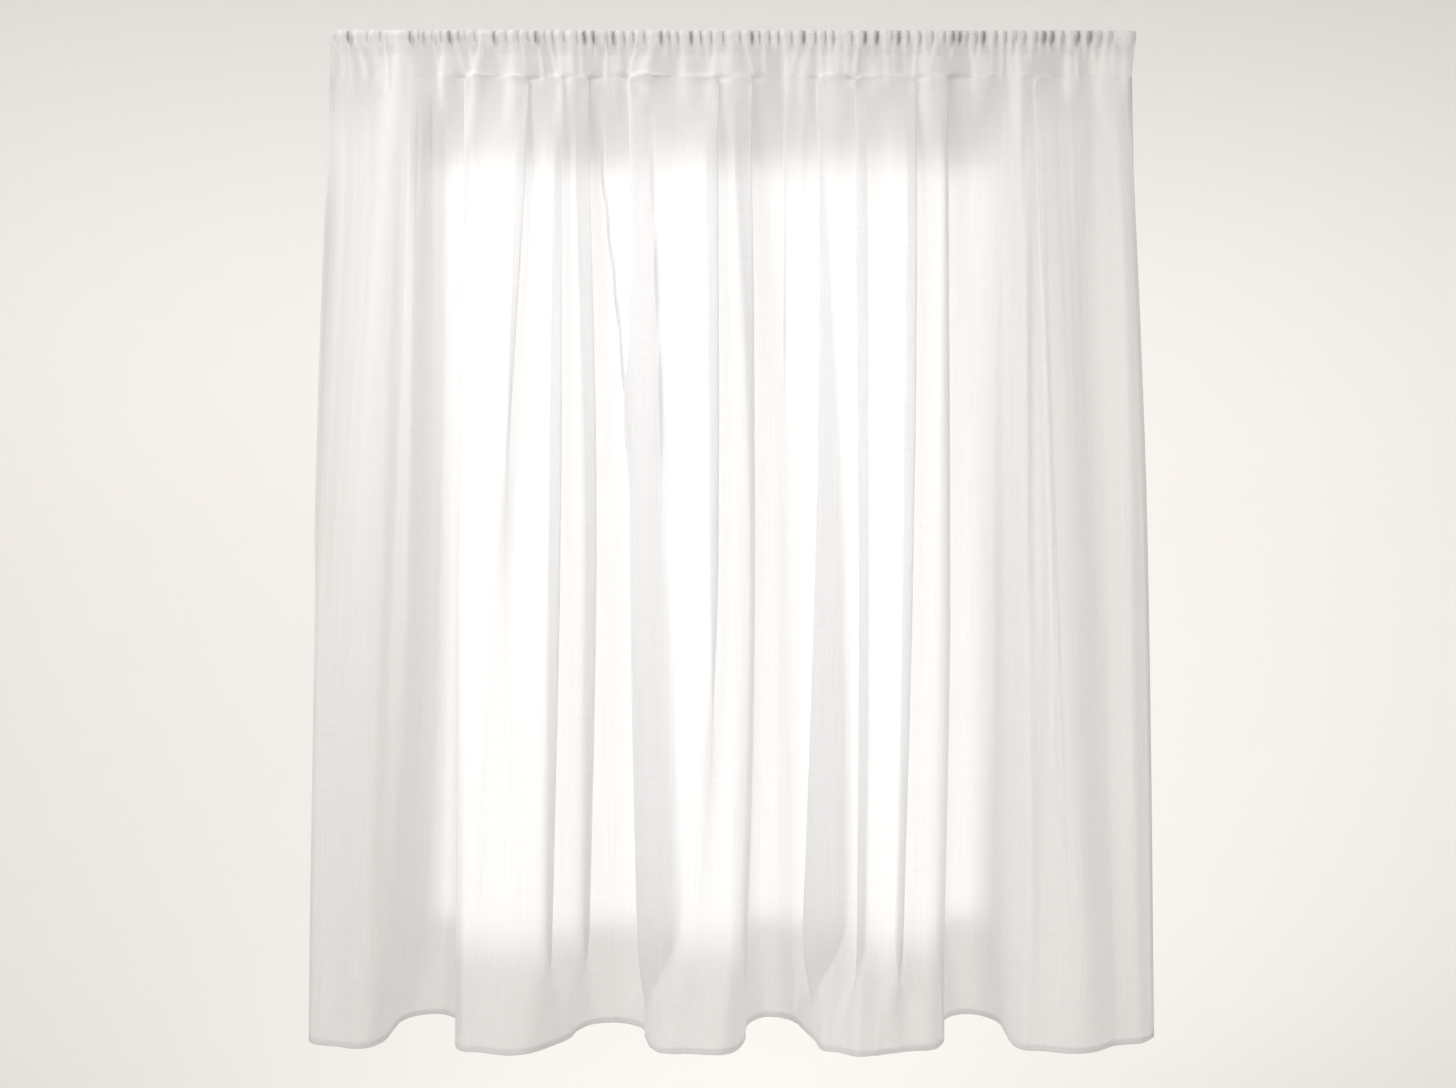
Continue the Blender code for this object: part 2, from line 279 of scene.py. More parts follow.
# The gathers' places are those seen in the top edge's plane, and they stand nearer, so
# they are drawn in by NEARER. Then they are moved by so many millimetres: at the rod,
# at the seam, and the broad ones.
NEARER = 0.993
ROD_SHIFT = 2.0
FINE_SHIFT = 6.0
BROAD_SHIFT = 10.0

# How dark the painted shade between the gathers is, and how high the cloth has to rise to lose it
SHADE = 0.26
SHADED_RISE = 0.005

# The rod's dents between the gathers, darkened with painted shade: where they are, which are deep.
# END_DENT is how far out the last one is on both sides.
DENTS = (
    -709, -674, -650, -596, -579, -570, -555, -539, -523, -506, -495, -477, -442, -420, -398,
    -380, -365, -349, -334, -314, -290, -276, -259, -237, -223, -203, -186, -166, -135, -120,
    -104, -80, -62, -43, -21, 10, 32, 46, 64, 81, 105, 127, 149, 167, 182, 216, 240, 262, 289,
    302, 320, 341, 364, 386, 401, 414, 428, 445, 458, 481, 498, 516, 534, 555, 569, 584, 604,
    631, 653, 673, 692,
)
DEEP_DENTS = (
    -709, -596, -523, -442, -365, -276, -259, -223, -135, -80, 32, 127, 240, 262, 302, 401,
    414, 458, 569, 584, 631, 653,
)
END_DENT = 734

# Between two dents the cloth bulges by BULGE_HIGH, or by less where they are less than
# BULGE_WIDE apart. DENT_WIDE is half a deep dent's width. All three are in millimetres.
# A low BULGE_ROUND makes a flat top with steep sides, and PALE_DENT is the share of a
# deep dent's width and painted shade that the others have.
BULGE_HIGH = 5.5
BULGE_WIDE = 20.0
BULGE_ROUND = 0.70
DENT_WIDE = 4.2
PALE_DENT = 0.66

# The pocket's profile: how far its walls stand from its middle at a distance below
# the top edge, round at the top and then through these points
ROD_ROUND = 0.0125
PROFILE = ((ROD_ROUND, ROD_ROUND), (0.024, 0.0105), (0.050, 0.0034), (POCKET, LAYER_GAP / 2))

# The top edge waves up by this share of what a bulge stands out beyond CROWN_DIP
CROWN_DIP = 0.003
CROWN_SHARE = 0.20

# Long soft ripples that the gathers leave in the sheet: from crest to crest,
# how high, and how far they wander across on their way down
Ripple = namedtuple("Ripple", "length rise drift")
RIPPLES = (
    Ripple(0.093, 0.0019, 0.012),
    Ripple(0.061, 0.0013, -0.017),
    Ripple(0.038, 0.0008, 0.009),
    Ripple(0.021, 0.0003, -0.006),
)
RIPPLE_SEED = 3

# What share of their height they lose by the hem, and how fast they wander, from and to,
# in radians a metre
RIPPLE_LOSS = 0.55
RIPPLE_SWING = (2.0, 3.5)

# A ripple comes and goes across the cloth: its mean height, how much that
# swings, and over how many of its own lengths
PATCH_MEAN = 0.55
PATCH_SWING = 0.45
PATCH_LENGTHS = 7.3

# Where a painted shadow shows as a dark line along the seam, from and to. How dark the seam's
# stitches are elsewhere, beside 1 there, and how dark the hem's stitches and its lower edge are.
PAINTED_SEAM_SHADOWS = ((-464, -442), (-153, -111), (30, 54), (260, 269), (468, 487))
FAINT_STITCHES = 0.04
HEM_STITCHES = 0.4
HEM_RIM = 0.22

# The mesh: pieces between two points of a fold, rows over the pocket's round top and
# down its walls, and how far a stitch and the hem's rounded edge reach
STEPS = 16
TURN_ROWS = 8
WALL_ROWS = 26
STITCH = 0.0012
HEM_ROLL = 0.0004

# The panel's rows: from, to, and how far apart
PANEL_STEPS = (
    (POCKET + 2 * STITCH, 0.210, 0.005),
    (0.210, 0.420, 0.012),
    (0.420, DROP - HEM - 2 * STITCH, 0.026),
)

# At how many heights the threads' places are measured, and the least way between two points
THREAD_ROWS = 12
LEAST_CHORD = 1e-5

# The photograph's camera. Its width and focal length are in pixels, its sensor in millimetres.
IMAGE_WIDTH = 1456
FOCAL = 1416.0
SENSOR = 36.0
CAMERA_X = -0.0105
CAMERA_DISTANCE = 2.589
CAMERA_BELOW = 0.939

# The weave's streaks: how many for each metre across and along, and how fine their detail is.
# Then how much each counts, and how much cover they add or take.
WARP = (430.0, 5.0, 3.0)
WEFT = (13.0, 360.0, 3.0)
WARP_WEIGHT = 1.25
WEFT_WEIGHT = 0.75
SLUB_COVER = 0.072
BUMP_STRENGTH = 0.2
BUMP_DISTANCE = 0.0003

# The share of the cloth that is yarn, in one layer of the sheet and of the pocket
SHEET_COVER = 0.63
HEADING_COVER = 0.34

# How much the dents and the painted shade, and a line of stitches, close the gaps
DENT_CLOSES = 0.85
SEWN_CLOSES = 0.25
# How much the stitches and the painted seam shadow darken the yarn
STITCH_AND_SHADOW_DARK = 0.16

# The slant is 1 where the cloth is seen face on and 0 edge on, which this blend leaves
# as it is. The gaps close as it falls, but no further than at the least slant.
FACING_BLEND = 0.5
LEAST_SLANT = 0.70

# The share of the yarn's light that comes through from its other side, and the tones
THROUGH = 0.54
CLOTH_TONE = (0.916, 0.918, 0.925, 1.0)
# The heading's tone is painted lighter than the sheet's: painted light on the same yarn
HEADING_TONE = (0.95, 0.95, 0.952, 1.0)
# The dark tone towards which painted shade, the painted seam shadow and stitches draw the yarn
SHADE_AND_STITCH_TONE = (0.34, 0.34, 0.335, 1.0)

# The stage: how far its floor lies below the top edge, its size, its mesh and its finish
FLOOR_BELOW = 2.9
STAGE_RADIUS = 5.2
STAGE_CURVE = 2.2
STAGE_HEIGHT = 6.5
STAGE_RINGS = 16
STAGE_TURNS = 72
STAGE_TONE = (0.87, 0.85, 0.828, 1.0)
STAGE_ROUGHNESS = 0.9
STAGE_SPECULAR = 0.1

# The light all round, and three soft rectangular lamps: on the curtain from the left,
# on the backdrop behind it, and close behind its middle. spread is in degrees.
SKY_TONE = (1.0, 1.0, 1.0, 1.0)
SKY = 0.56
Lamp = namedtuple("Lamp", "name place target size watts tone spread")
LAMPS = (
    Lamp(
        "key", (-2.0, -1.6, 1.2), (-0.3, 0.0, -0.3),
        size=(1.6, 1.6), watts=17.5, tone=(1.0, 0.995, 0.985), spread=76.0,
    ),
    Lamp(
        "wash", (-0.2, 1.2, 0.4), (-0.4, 5.2, -1.0),
        size=(4.2, 1.2), watts=93.0, tone=(1.0, 0.99, 0.98), spread=180.0,
    ),
    Lamp(
        "back", (-0.042, 0.32, -0.943), (-0.042, 0.0, -0.943),
        size=(1.035, 1.40), watts=3.3, tone=(0.945, 0.965, 0.99), spread=22.0,
    ),
)


def smooth(value, low, high):
    """0 at low, 1 at high, with a soft start and end."""
    share = np.clip((value - low) / (high - low), 0.0, 1.0)
    return share * share * (3.0 - 2.0 * share)


def at_height(values, below, last=DROP):
    """A table's three values, at UPPER, MIDDLE and last, carried smoothly down the curtain.

    The curve has the slope turn at MIDDLE, and no bend at its two ends.
    """
    upper, middle, lower = values
    below = min(below, last)
    if below <= UPPER:
        return upper
    before = (middle - upper) / (MIDDLE - UPPER)
    after = (lower - middle) / (last - MIDDLE)
    turn = 2.0 * before * after / (before + after) if before * after > 0.0 else 0.0
    if below < MIDDLE:
        low, high = UPPER, MIDDLE
        start, end = upper, middle
        start_slope, end_slope = 1.5 * before - 0.5 * turn, turn
    else:
        low, high = MIDDLE, last
        start, end = middle, lower
        start_slope, end_slope = turn, 1.5 * after - 0.5 * turn
    span = high - low
    t = (below - low) / span
    return (
        (2 * t**3 - 3 * t**2 + 1) * start
        + (t**3 - 2 * t**2 + t) * span * start_slope
        + (3 * t**2 - 2 * t**3) * end
        + (t**3 - t**2) * span * end_slope
    )


def turn_places(across, reach, below):
    """Where each fold's turn stands, and how wide it is, below 0 where it doubles back.

    A lap moves as it forms, so that its front edge hangs straight.
    """
    crest = [(a + b) / 2 for a, b in zip(across, across[1:])]
    opened = smooth(below, LOWER, DROP)
    stepped = smooth(below, *STEPS_FORMED)
    lapped = smooth(below, *LAPS_FORMED)
    turns = {}
    for i, fold in enumerate(FOLDS[1:], start=1):
        soft = (crest[i] - crest[i - 1]) / SLOPES_BETWEEN_CRESTS
        laps = [soft if lap is SOFT else -lap * MM for lap in fold.lap]
        full = at_height(laps, below, LOWER)
        full += (fold.at_hem[1] * MM - full) * opened
        if full < 0.0:
            width = soft * (1.0 - stepped) + full * lapped
            shift = (full - width) / 2 * (1.0 if reach[i] > reach[i - 1] else -1.0)
        else:
            width = soft + (full - soft) * stepped
            shift = 0.0
        turns[i] = (across[i] + shift, width)
    return turns


def edge_shares(step, below):
    """How round a turn's left and right edges are, as shares of its depth, step."""
    rounder = smooth(below, MIDDLE, DROP) * min(abs(step) / DEEP_FOLD, 1.0)
    back = TURN_SHARE + (BACK_SHARE_AT_HEM - TURN_SHARE) * rounder
    front = TURN_SHARE + (FRONT_SHARE_AT_HEM - TURN_SHARE) * rounder
    return (back, front) if step > 0.0 else (front, back)


def hung_from_top(points, below):
    """The folds' points, but flat and evenly spread at the top edge."""
    hung = smooth(below, *HUNG)
    even_share = 1.0 - smooth(below, 0.0, SPREAD_ENDS)
    pitch = 2.0 * TOP_HALF_WIDTH / (len(points) - 1)
    placed = []
    for i, (x, y) in enumerate(points):
        even = i * pitch - TOP_HALF_WIDTH
        placed.append((x + (even - x) * even_share, y * hung))
    return np.array(placed)


def fold_points(below):
    """The points in plan that the cloth passes through, (across, towards the room)."""
    opened = smooth(below, LOWER, DROP)
    across = []
    for fold in FOLDS:
        place = at_height(fold.across, below, LOWER)
        across.append((place + (fold.at_hem[0] - place) * opened) * MM)
    across.append(at_height(RIGHT_END, below) * MM)
    reach = [at_height(fold.reach, below) * MM for fold in FOLDS]
    end_reach = at_height(END_REACH, below) * MM
    turns = turn_places(across, reach, below)

    points = [(across[0], (end_reach + reach[0]) / 2)]
    for i in range(len(FOLDS)):
        left = across[i]
        right = across[i + 1]
        if i > 0:
            place, width = turns[i]
            step = reach[i] - reach[i - 1]
            left_share, right_share = edge_shares(step, below)
            points.append((place - width / 2, reach[i - 1] + left_share * step))
            points.append((place + width / 2, reach[i] - right_share * step))
            left = place + width / 2
        if i + 1 < len(FOLDS):
            place, width = turns[i + 1]
            right = place - width / 2
        points.append(((left + right) / 2, reach[i]))
    points.append((across[-1], end_reach))
    return hung_from_top(points, below)


def curve_through(points, steps):
    """A natural cubic spline through the points, with steps pieces between two."""
    chord = np.maximum(np.linalg.norm(np.diff(points, axis=0), axis=1), LEAST_CHORD)
    count = len(points)
    matrix = np.eye(count)
    wanted = np.zeros((count, 2))
    for i in range(1, count - 1):
        matrix[i, i - 1 : i + 2] = chord[i - 1], 2 * (chord[i - 1] + chord[i]), chord[i]
        after = (points[i + 1] - points[i]) / chord[i]
        before = (points[i] - points[i - 1]) / chord[i - 1]
        wanted[i] = 6 * (after - before)
    bend = np.linalg.solve(matrix, wanted)
    t = (np.arange(steps) / steps)[None, :, None]
    a = 1.0 - t
    pull = (a**3 - a) * bend[:-1, None] + (t**3 - t) * bend[1:, None]
    pieces = a * points[:-1, None] + t * points[1:, None] + pull * chord[:, None, None] ** 2 / 6
    return np.vstack([pieces.reshape(-1, 2), points[-1]])


def sideways(curve):
    """Unit vectors square to the cloth in plan, pointing towards the room."""
    along = np.gradient(curve, axis=0)
    along /= np.linalg.norm(along, axis=1)[:, None]
    return np.stack([-along[:, 1], along[:, 0]], axis=1)


def pinched(x):
    """How high the cloth bulges between the rod's dents, and how dark their painted shade is."""
    x = (x / MM - ROD_SHIFT) / NEARER
    dents = np.array([-END_DENT, *DENTS, END_DENT], float)
    deep = np.array([dent_shade in DEEP_DENTS for dent_shade in dents], float)
    right = np.clip(np.searchsorted(dents, x), 1, len(dents) - 1)
    width = dents[right] - dents[right - 1]
    share = np.clip(2.0 * (x - dents[right - 1]) / width - 1.0, -1.0, 1.0)
    bulge = BULGE_HIGH * np.minimum(width / BULGE_WIDE, 1.0) * (1.0 - share**2) ** BULGE_ROUND
    nearest = np.where(share < 0.0, right - 1, right)
    strength = PALE_DENT + (1.0 - PALE_DENT) * deep[nearest]
    gap = np.abs(x - dents[nearest]) / (DENT_WIDE * strength)
    return bulge * MM, strength * np.exp(-(gap**2))


def ridge(x, centre, wide):
    """1 on a ridge's crest, fading to nothing on both sides."""
    return np.exp(-(((x / MM - centre) / wide) ** 2))


def gather_rise(x, below):
    """How far the gathers lift the cloth at x, and the painted shade at the rod's dents and between
    them.
    """
    fine = np.zeros_like(x)
    share = smooth(below, ROD_LINE, POCKET)
    for gather in GATHERS:
        end = gather.end * MM
        at_end = smooth(below, POCKET, max(end, POCKET + MM))
        centre = gather.at_rod + (gather.at_seam - gather.at_rod) * share
        centre += (gather.at_end - gather.at_seam) * at_end
        rise = gather.rise[0] + (gather.rise[1] - gather.rise[0]) * share
        wide = gather.wide * (WIDE_AT_ROD + WIDER_AT_SEAM * share + WIDER_AT_END * at_end)
        kept = SHORT_GATHER_KEPT * end if end <= POCKET else POCKET * NEAR_SEAM
        run = 1.0 - smooth(below, kept, end)
        centre = centre * NEARER + ROD_SHIFT + (FINE_SHIFT - ROD_SHIFT) * share
        fine += rise * run * MM * ridge(x, centre, wide)
    broad = np.zeros_like(x)
    for gather in BROADS:
        end = gather.end * MM
        centre = gather.across + (gather.at_end - gather.across) * smooth(below, POCKET, end)
        run = smooth(below, ROD_BAND_END, POCKET) * (1.0 - smooth(below, POCKET, end))
        broad += gather.rise * run * MM * ridge(x, centre * NEARER + BROAD_SHIFT, gather.wide)
    bulge, dent_shade = pinched(x)
    freed = smooth(below, ROD_LINE, FREED_END)
    started = smooth(below, -ROD_LINE, ROD_LINE)
    lifted = bulge * (1.0 - freed) + fine * RIDGE_SHARE
    rise = HIGHEST * np.tanh((lifted * started + broad * BROAD_SHARE) / HIGHEST)
    # Painted shade: dark at the rod's dents, and between the gathers where the cloth rises little
    dark = dent_shade * (1.0 - smooth(below, ROD_BAND_END, FREED_END)) * started
    level = np.clip((lifted + broad) / SHADED_RISE, 0.0, 1.0)
    shaded = SHADE * (1.0 - level) * started * (1.0 - smooth(below, POCKET, UPPER))
    return rise, np.maximum(dark, shaded)


def present(line, below):
    """How much of a crease or pleat there is at a height, from 0 to 1."""
    start, end = line.start * MM, line.end * MM
    fade = CREASE_FADE * (end - start)
    return smooth(below, start, start + fade) * (1.0 - smooth(below, end - fade, end))


def crease_rise(x, below):
    """How far the soft creases lift the cloth at x."""
    total = np.zeros_like(x)
    for crease in CREASES:
        rise = crease.rise * present(crease, below) * MM
        total += rise * ridge(x, at_height(crease.across, below), crease.wide)
    return total


def pleat_moves(x, below):
    """How far the narrow pleats carry the cloth at x across, and towards the room."""
    across = np.zeros_like(x)
    out = np.zeros_like(x)
    for pleat in PLEATS:
        place = (x / MM - at_height(pleat.across, below)) / pleat.wide
        turn = place * np.exp(-(place**2)) * present(pleat, below) * MM
        across -= pleat.over * turn
        out += PLEAT_DEEP * turn
    return across, out


def ripples(u, below):
    """The long ripples, in the cloth's own width u."""
    chance = random.Random(RIPPLE_SEED)
    fade = smooth(below, POCKET, UPPER) * (1.0 - RIPPLE_LOSS * smooth(below, UPPER, DROP))
    total = np.zeros_like(u)
    for ripple in RIPPLES:
        phase = chance.uniform(0.0, 2.0 * math.pi)
        swing = chance.uniform(*RIPPLE_SWING)
        wander = ripple.drift * math.sin(swing * below + phase)
        patch_turn = 2.0 * math.pi * u / (PATCH_LENGTHS * ripple.length) + 2.0 * phase
        patch = PATCH_MEAN + PATCH_SWING * np.sin(patch_turn)
        total += ripple.rise * patch * np.sin(2.0 * math.pi * (u + wander) / ripple.length + phase)
    return total * fade


def thread_places():
    """Each column's place in the cut cloth's width, the mean over the curtain's heights."""
    shares = []
    for below in np.linspace(UPPER, DROP, THREAD_ROWS):
        curve = curve_through(fold_points(below), STEPS)
        steps = np.linalg.norm(np.diff(curve, axis=0), axis=1)
        length = np.concatenate([[0.0], np.cumsum(steps)])
        shares.append(length / length[-1])
    return np.mean(shares, axis=0) * CUT_WIDTH


THREADS = thread_places()


def crossings(x):
    """How many times the cloth passes each of its points across: 1, or 3 in a lap."""
    low = np.minimum(x[:-1], x[1:])
    high = np.maximum(x[:-1], x[1:])
    return ((low[None, :] <= x[:, None]) & (x[:, None] < high[None, :])).sum(axis=1)


def sheet_row(below):
    """The cloth in plan at one height, and its painted shade at the dents and between the gathers.
    """
    curve = curve_through(fold_points(below), STEPS)
    rise, dent_shade = gather_rise(curve[:, 0], below)
    row = curve + sideways(curve) * ripples(THREADS, below)[:, None]
    fade = 1.0 - smooth(below, POCKET, UPPER)
    row[:, 1] += rise + crease_rise(curve[:, 0], below) - MEAN_GATHER * fade
    across, out = pleat_moves(curve[:, 0], below)
    row[:, 0] += across
    row[:, 1] += out
    if below > POCKET:
        dent_shade = dent_shade * (crossings(curve[:, 0]) < 2)
    return row, dent_shade


class Rows:
    """Rows of points that become one sheet, with the cloth's own places and marks.

    The marks: closer cloth darkened with painted shade, and stitches with a painted seam shadow.
    """

    def __init__(self):
        self.points = []
        self.places = []
        self.dents = []
        self.stitches_and_seam_shadow = []

    def add(self, plan, below, across, along, dent_shade, stitches_and_seam_shadow):
        """plan is the row seen from above. Towards the room is -Y."""
        self.points.append(np.stack([plan[:, 0], -plan[:, 1], -below * np.ones(len(plan))], axis=1))
        self.places.append(np.stack([across, along * np.ones(len(plan))], axis=1))
        self.dents.append(dent_shade)
        self.stitches_and_seam_shadow.append(stitches_and_seam_shadow * np.ones(len(plan)))

    def sheet(self, name, material):
        """The rows as one smooth piece."""
        count = len(self.points[0])
        index = np.arange(len(self.points) * count).reshape(len(self.points), count)
        corners = [index[:-1, :-1], index[1:, :-1], index[1:, 1:], index[:-1, 1:]]
        faces = np.stack(corners, axis=-1).reshape(-1, 4)
        mesh = bpy.data.meshes.new(name)
        mesh.from_pydata(np.concatenate(self.points).tolist(), [], faces.tolist())
        places = mesh.uv_layers.new(name="cloth")
        places.data.foreach_set("uv", np.concatenate(self.places)[faces.ravel()].ravel())
        for mark, rows in (("dent_shade", self.dents), ("stitches_and_seam_shadow", self.stitches_and_seam_shadow)):
            values = mesh.attributes.new(mark, "FLOAT", "POINT")
            values.data.foreach_set("value", np.concatenate(rows))
        mesh.shade_smooth()
        mesh.materials.append(material)
        piece = bpy.data.objects.new(name, mesh)
        bpy.context.scene.collection.objects.link(piece)
        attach(piece, "root")
        return piece


def seam_stitches_and_shadow(x):
    """How dark the seam line is at x: faint stitches, and painted shadow over a few short
    stretches.
    """
    shown = np.full_like(x, FAINT_STITCHES)
    for start, end in PAINTED_SEAM_SHADOWS:
        shown[(x > start * MM) & (x < end * MM)] = 1.0
    return shown


def panel_heights():
    """The heights of the panel's rows down to its hem, fine near the seam."""
    heights = [POCKET, POCKET + STITCH, POCKET + 2 * STITCH]
    for start, end, step in PANEL_STEPS:
        count = math.ceil((end - start) / step)
        heights += list(np.linspace(start, end, count + 1)[1:])
    return heights


def voile_panel(material):
    """The single sheet from the seam down, its hem and side hems turned to the back."""
    rows = Rows()
    left = THREADS <= SIDE_HEM
    right = THREADS >= CUT_WIDTH - SIDE_HEM
    stitched = DROP - HEM

    def add(below, layers_back=0, rim=0.0):
        """A row with its side hems. A row of the turned-up hem lies one layer back."""
        plan, dent_shade = sheet_row(below)
        dent_shade = np.maximum(dent_shade, rim)
        out = sideways(plan)
        front = plan - out * layers_back * LAYER_GAP
        back = front - out * LAYER_GAP
        plan = np.vstack([back[left][::-1], front, back[right][::-1]])
        left_turned = -THREADS[left][::-1]
        right_turned = 2 * CUT_WIDTH - THREADS[right][::-1]
        across = np.concatenate([left_turned, THREADS, right_turned])
        dent_shade = np.concatenate([dent_shade[left][::-1], dent_shade, dent_shade[right][::-1]])
        along = 2 * DROP - below if layers_back == 1 else below
        stitches_and_seam_shadow = HEM_STITCHES if below == stitched else 0.0
        rows.add(plan, below, across, along, dent_shade, stitches_and_seam_shadow)

    for below in panel_heights():
        add(below)
    for below in (stitched - STITCH, stitched, stitched + STITCH, DROP - HEM / 2, DROP - HEM_ROLL):
        add(below)
    add(DROP, layers_back=0.5, rim=HEM_RIM)
    for below in (DROP - HEM_ROLL, DROP - HEM / 2, stitched + STITCH, stitched):
        add(below, layers_back=1)
    piece = rows.sheet("voile_panel_sheet", material)
    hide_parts("voile_panel")
    return piece


def wall_gap(below):
    """How far the pocket's walls stand from its middle."""
    if below < ROD_ROUND:
        return math.sqrt(ROD_ROUND**2 - (ROD_ROUND - below) ** 2)
    for (low, start), (high, end) in zip(PROFILE, PROFILE[1:]):
        if below <= high:
            break
    return start + (end - start) * smooth(below, low, high)


def rod_pocket(material):
    """The doubled, gathered top: up the front, over the top and down the back."""
    turn = np.linspace(0.0, math.pi / 2, TURN_ROWS + 1)
    over = ROD_ROUND * (1.0 - np.cos(turn))
    down = np.linspace(ROD_ROUND, POCKET - STITCH, WALL_ROWS + 1)[1:]
    heights = list(over) + list(down) + [POCKET]
    path = [(below, 1) for below in heights[::-1]] + [(below, -1) for below in heights[1:]]
    rows = Rows()
    along = POCKET
    before = None
    for below, side in path:
        wall = side * wall_gap(below)
        if before is not None:
            along -= math.hypot(wall - before[0], below - before[1])
        before = (wall, below)
        row, dent_shade = sheet_row(below)
        base = curve_through(fold_points(below), STEPS)
        together = smooth(below, ROD_BAND_END, POCKET * NEAR_SEAM)
        swing = side * (1.0 - together) + together
        plan = base + (row - base) * np.array([1.0, swing])
        plan[:, 1] += wall
        bulge, _ = pinched(base[:, 0])
        crown = 1.0 - smooth(below, 0.0, ROD_ROUND)
        level = below - crown * (bulge - CROWN_DIP) * CROWN_SHARE
        # The seam row carries its stitches and, over a few stretches, a painted shadow
        stitches_and_seam_shadow = seam_stitches_and_shadow(base[:, 0]) if below == POCKET else 0.0
        rows.add(plan, level, THREADS, along, dent_shade, stitches_and_seam_shadow)
    piece = rows.sheet("rod_pocket_sleeve", material)
    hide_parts("rod_pocket")
    return piece


class Nodes:
    """Short calls for building a material's nodes."""

    def __init__(self, name):
        self.material = bpy.data.materials.new(name)
        self.material.use_nodes = True
        self.tree = self.material.node_tree
        self.tree.nodes.clear()

    def add(self, kind, **settings):
        node = self.tree.nodes.new(kind)
        for key, value in settings.items():
            setattr(node, key, value)
        return node

    def put(self, socket, value):
        if isinstance(value, bpy.types.NodeSocket):
            self.tree.links.new(value, socket)
        else:
            socket.default_value = value

    def math(self, operation, *values, clamp=False):
        node = self.add("ShaderNodeMath", operation=operation, use_clamp=clamp)
        for socket, value in zip(node.inputs, values):
            self.put(socket, value)
        return node.outputs[0]

    def mark(self, name):
        return self.add("ShaderNodeAttribute", attribute_name=name).outputs["Fac"]

    def streaks(self, across, along, detail):
        """Noise drawn out into threads: how many for each metre of the cloth, both ways."""
        place = self.add("ShaderNodeUVMap", uv_map="cloth")
        stretch = self.add("ShaderNodeMapping")
        self.put(stretch.inputs["Vector"], place.outputs[0])
        self.put(stretch.inputs["Scale"], (across, along, 1.0))
        noise = self.add("ShaderNodeTexNoise", noise_dimensions="2D")
        self.put(noise.inputs["Vector"], stretch.outputs[0])
        self.put(noise.inputs["Scale"], 1.0)
        self.put(noise.inputs["Detail"], detail)
        return noise.outputs[0]

    def mix_shader(self, share, first, second):
        node = self.add("ShaderNodeMixShader")
        self.put(node.inputs[0], share)
        self.put(node.inputs[1], first)
        self.put(node.inputs[2], second)
        return node.outputs[0]


def voile(name, cover, tone):
    """Sheer plain weave. cover is the share of it that is yarn."""
    nodes = Nodes(name)
    warp = nodes.streaks(*WARP)
    weft = nodes.streaks(*WEFT)
    warp = nodes.math("MULTIPLY", warp, WARP_WEIGHT)
    weft = nodes.math("MULTIPLY", weft, WEFT_WEIGHT)
    slubs = nodes.math("ADD", warp, weft)
    dent_shade = nodes.mark("dent_shade")
    stitches_and_seam_shadow = nodes.mark("stitches_and_seam_shadow")

    cover = nodes.math("MULTIPLY_ADD", slubs, SLUB_COVER, cover - SLUB_COVER)
    gaps = nodes.math("SUBTRACT", 1.0, cover, clamp=True)
    gaps = nodes.math("MULTIPLY", gaps, nodes.math("MULTIPLY_ADD", dent_shade, -DENT_CLOSES, 1.0))
    gaps = nodes.math("MULTIPLY", gaps, nodes.math("MULTIPLY_ADD", stitches_and_seam_shadow, -SEWN_CLOSES, 1.0))
    facing = nodes.add("ShaderNodeLayerWeight")
    nodes.put(facing.inputs["Blend"], FACING_BLEND)
    slant = nodes.math("SUBTRACT", 1.0, facing.outputs["Facing"])
    layers = nodes.math("DIVIDE", 1.0, nodes.math("MAXIMUM", slant, LEAST_SLANT))
    yarn = nodes.math("SUBTRACT", 1.0, nodes.math("POWER", gaps, layers), clamp=True)

    # Painted shade, the painted seam shadow and the stitches darken the yarn towards the dark tone
    darkened = nodes.math("MULTIPLY_ADD", stitches_and_seam_shadow, STITCH_AND_SHADOW_DARK, dent_shade, clamp=True)
    colour = nodes.add("ShaderNodeMix", data_type="RGBA")
    nodes.put(colour.inputs["Factor"], darkened)
    nodes.put(colour.inputs["A"], tone)
    nodes.put(colour.inputs["B"], SHADE_AND_STITCH_TONE)
    colour = colour.outputs["Result"]

    bump = nodes.add("ShaderNodeBump")
    nodes.put(bump.inputs["Strength"], BUMP_STRENGTH)
    nodes.put(bump.inputs["Distance"], BUMP_DISTANCE)
    nodes.put(bump.inputs["Height"], slubs)
    sides = []
    for kind in ("ShaderNodeBsdfDiffuse", "ShaderNodeBsdfTranslucent"):
        side = nodes.add(kind)
        nodes.put(side.inputs["Color"], colour)
        nodes.put(side.inputs["Normal"], bump.outputs[0])
        sides.append(side.outputs[0])
    cloth = nodes.mix_shader(THROUGH, *sides)
    clear = nodes.add("ShaderNodeBsdfTransparent")
    output = nodes.add("ShaderNodeOutputMaterial")
    nodes.put(output.inputs["Surface"], nodes.mix_shader(yarn, clear.outputs[0], cloth))
    return nodes.material


def stage_material():
    material = bpy.data.materials.new("pale_stage")
    material.use_nodes = True
    shader = material.node_tree.nodes["Principled BSDF"]
    shader.inputs["Base Color"].default_value = STAGE_TONE
    shader.inputs["Roughness"].default_value = STAGE_ROUGHNESS
    shader.inputs["Specular IOR Level"].default_value = STAGE_SPECULAR
    return material


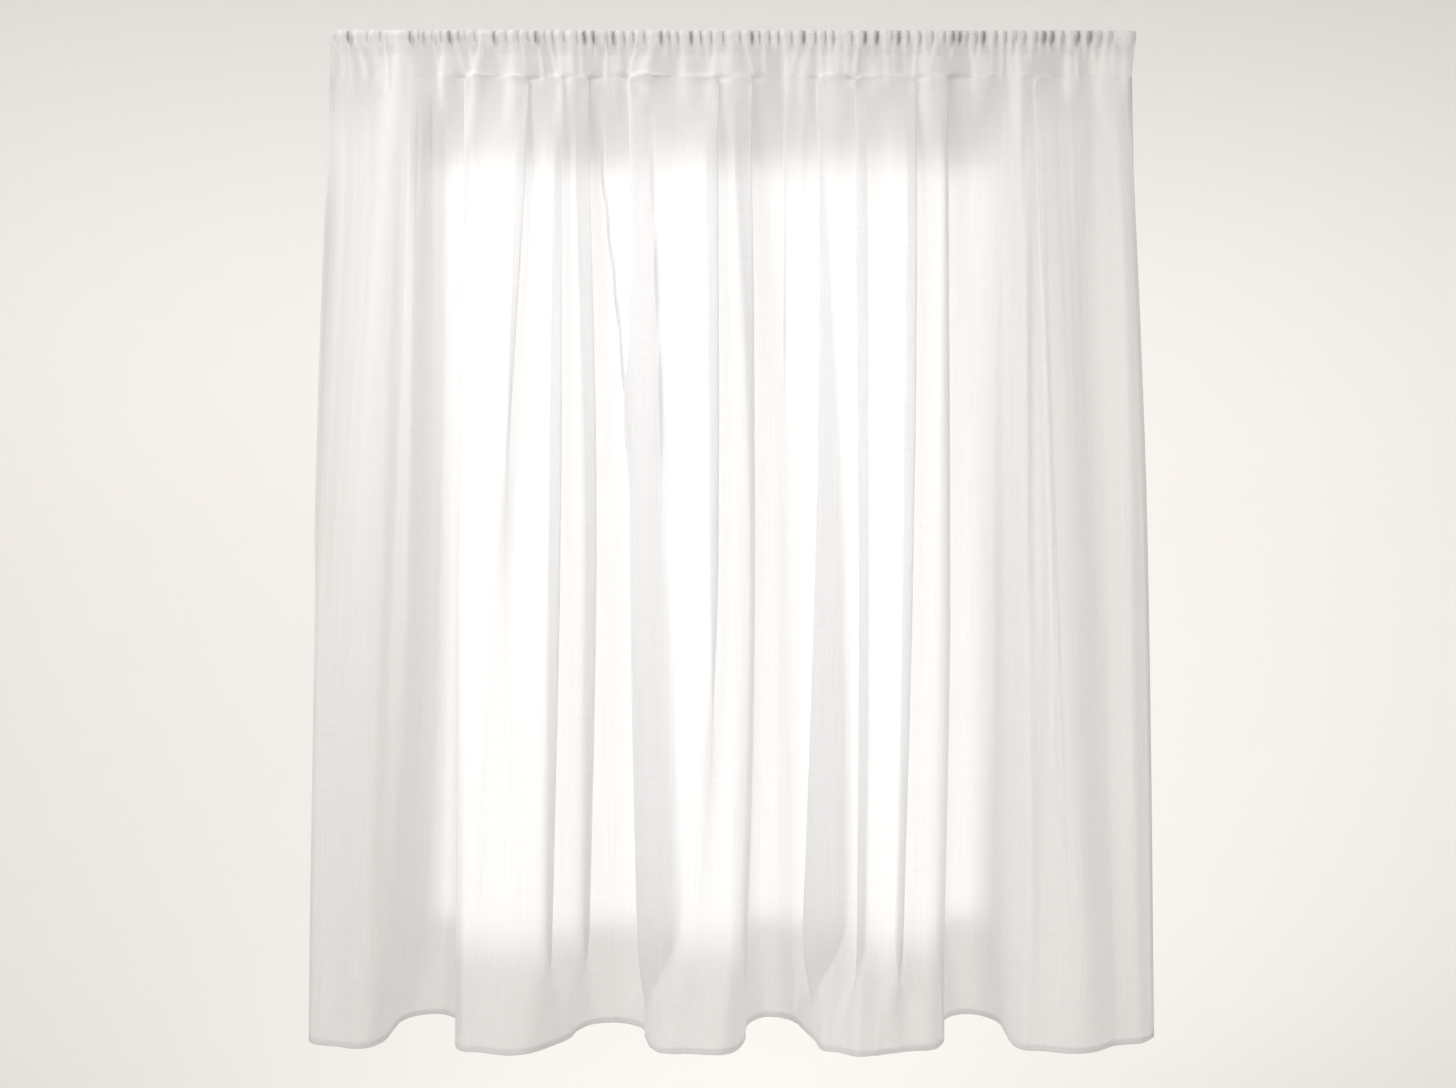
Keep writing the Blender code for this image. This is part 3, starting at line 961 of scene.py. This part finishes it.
def stage():
    """A pale floor that curves up all round into a tall pale backdrop, with the camera inside."""
    flat = STAGE_RADIUS - STAGE_CURVE
    profile = [(0.0, 0.0)]
    for k in range(STAGE_RINGS + 1):
        angle = math.pi / 2 * k / STAGE_RINGS
        radius = flat + STAGE_CURVE * math.sin(angle)
        level = STAGE_CURVE * (1.0 - math.cos(angle))
        profile.append((radius, level))
    profile.append((STAGE_RADIUS, STAGE_HEIGHT))
    mesh = bpy.data.meshes.new("pale_floor")
    points = []
    faces = []
    for k in range(STAGE_TURNS):
        angle = 2.0 * math.pi * k / STAGE_TURNS
        after = (k + 1) % STAGE_TURNS
        for j, (radius, level) in enumerate(profile):
            points.append((radius * math.cos(angle), radius * math.sin(angle), level - FLOOR_BELOW))
            if j > 1:
                a, b = k * len(profile) + j, after * len(profile) + j
                faces.append((a - 1, a, b, b - 1))
        faces.append((0, k * len(profile) + 1, after * len(profile) + 1))
    mesh.from_pydata(points, [], faces)
    mesh.shade_smooth()
    mesh.materials.append(stage_material())
    floor = bpy.data.objects.new("pale_floor", mesh)
    bpy.context.scene.collection.objects.link(floor)


def area_light(lamp):
    """A soft rectangular light, out of the camera's sight."""
    data = bpy.data.lights.new(lamp.name, "AREA")
    data.spread = math.radians(lamp.spread)
    data.shape = "RECTANGLE"
    data.size, data.size_y = lamp.size
    data.energy = lamp.watts
    data.color = lamp.tone
    light = bpy.data.objects.new(lamp.name, data)
    light.location = lamp.place
    aim = Vector(lamp.target) - Vector(lamp.place)
    light.rotation_euler = aim.to_track_quat("-Z", "Y").to_euler()
    light.visible_camera = False
    bpy.context.scene.collection.objects.link(light)


def lights():
    """The even light all round and the lamps."""
    world = bpy.data.worlds.new("studio")
    world.use_nodes = True
    sky = world.node_tree.nodes["Background"]
    sky.inputs["Color"].default_value = SKY_TONE
    sky.inputs["Strength"].default_value = SKY
    bpy.context.scene.world = world
    for lamp in LAMPS:
        area_light(lamp)


def camera():
    """The photograph's camera, level and square on."""
    data = bpy.data.cameras.new("camera")
    data.sensor_width = SENSOR
    data.lens = FOCAL * SENSOR / IMAGE_WIDTH
    view = bpy.data.objects.new("camera", data)
    view.location = (CAMERA_X, -CAMERA_DISTANCE, -CAMERA_BELOW)
    view.rotation_euler = (math.pi / 2, 0.0, 0.0)
    bpy.context.scene.collection.objects.link(view)
    bpy.context.scene.camera = view


single = voile("sheer_voile", SHEET_COVER, CLOTH_TONE)
doubled = voile("sheer_voile_heading", HEADING_COVER, HEADING_TONE)
panel = voile_panel(single)
pocket = rod_pocket(doubled)
stage()
lights()
camera()
bpy.context.scene.view_settings.view_transform = "Standard"
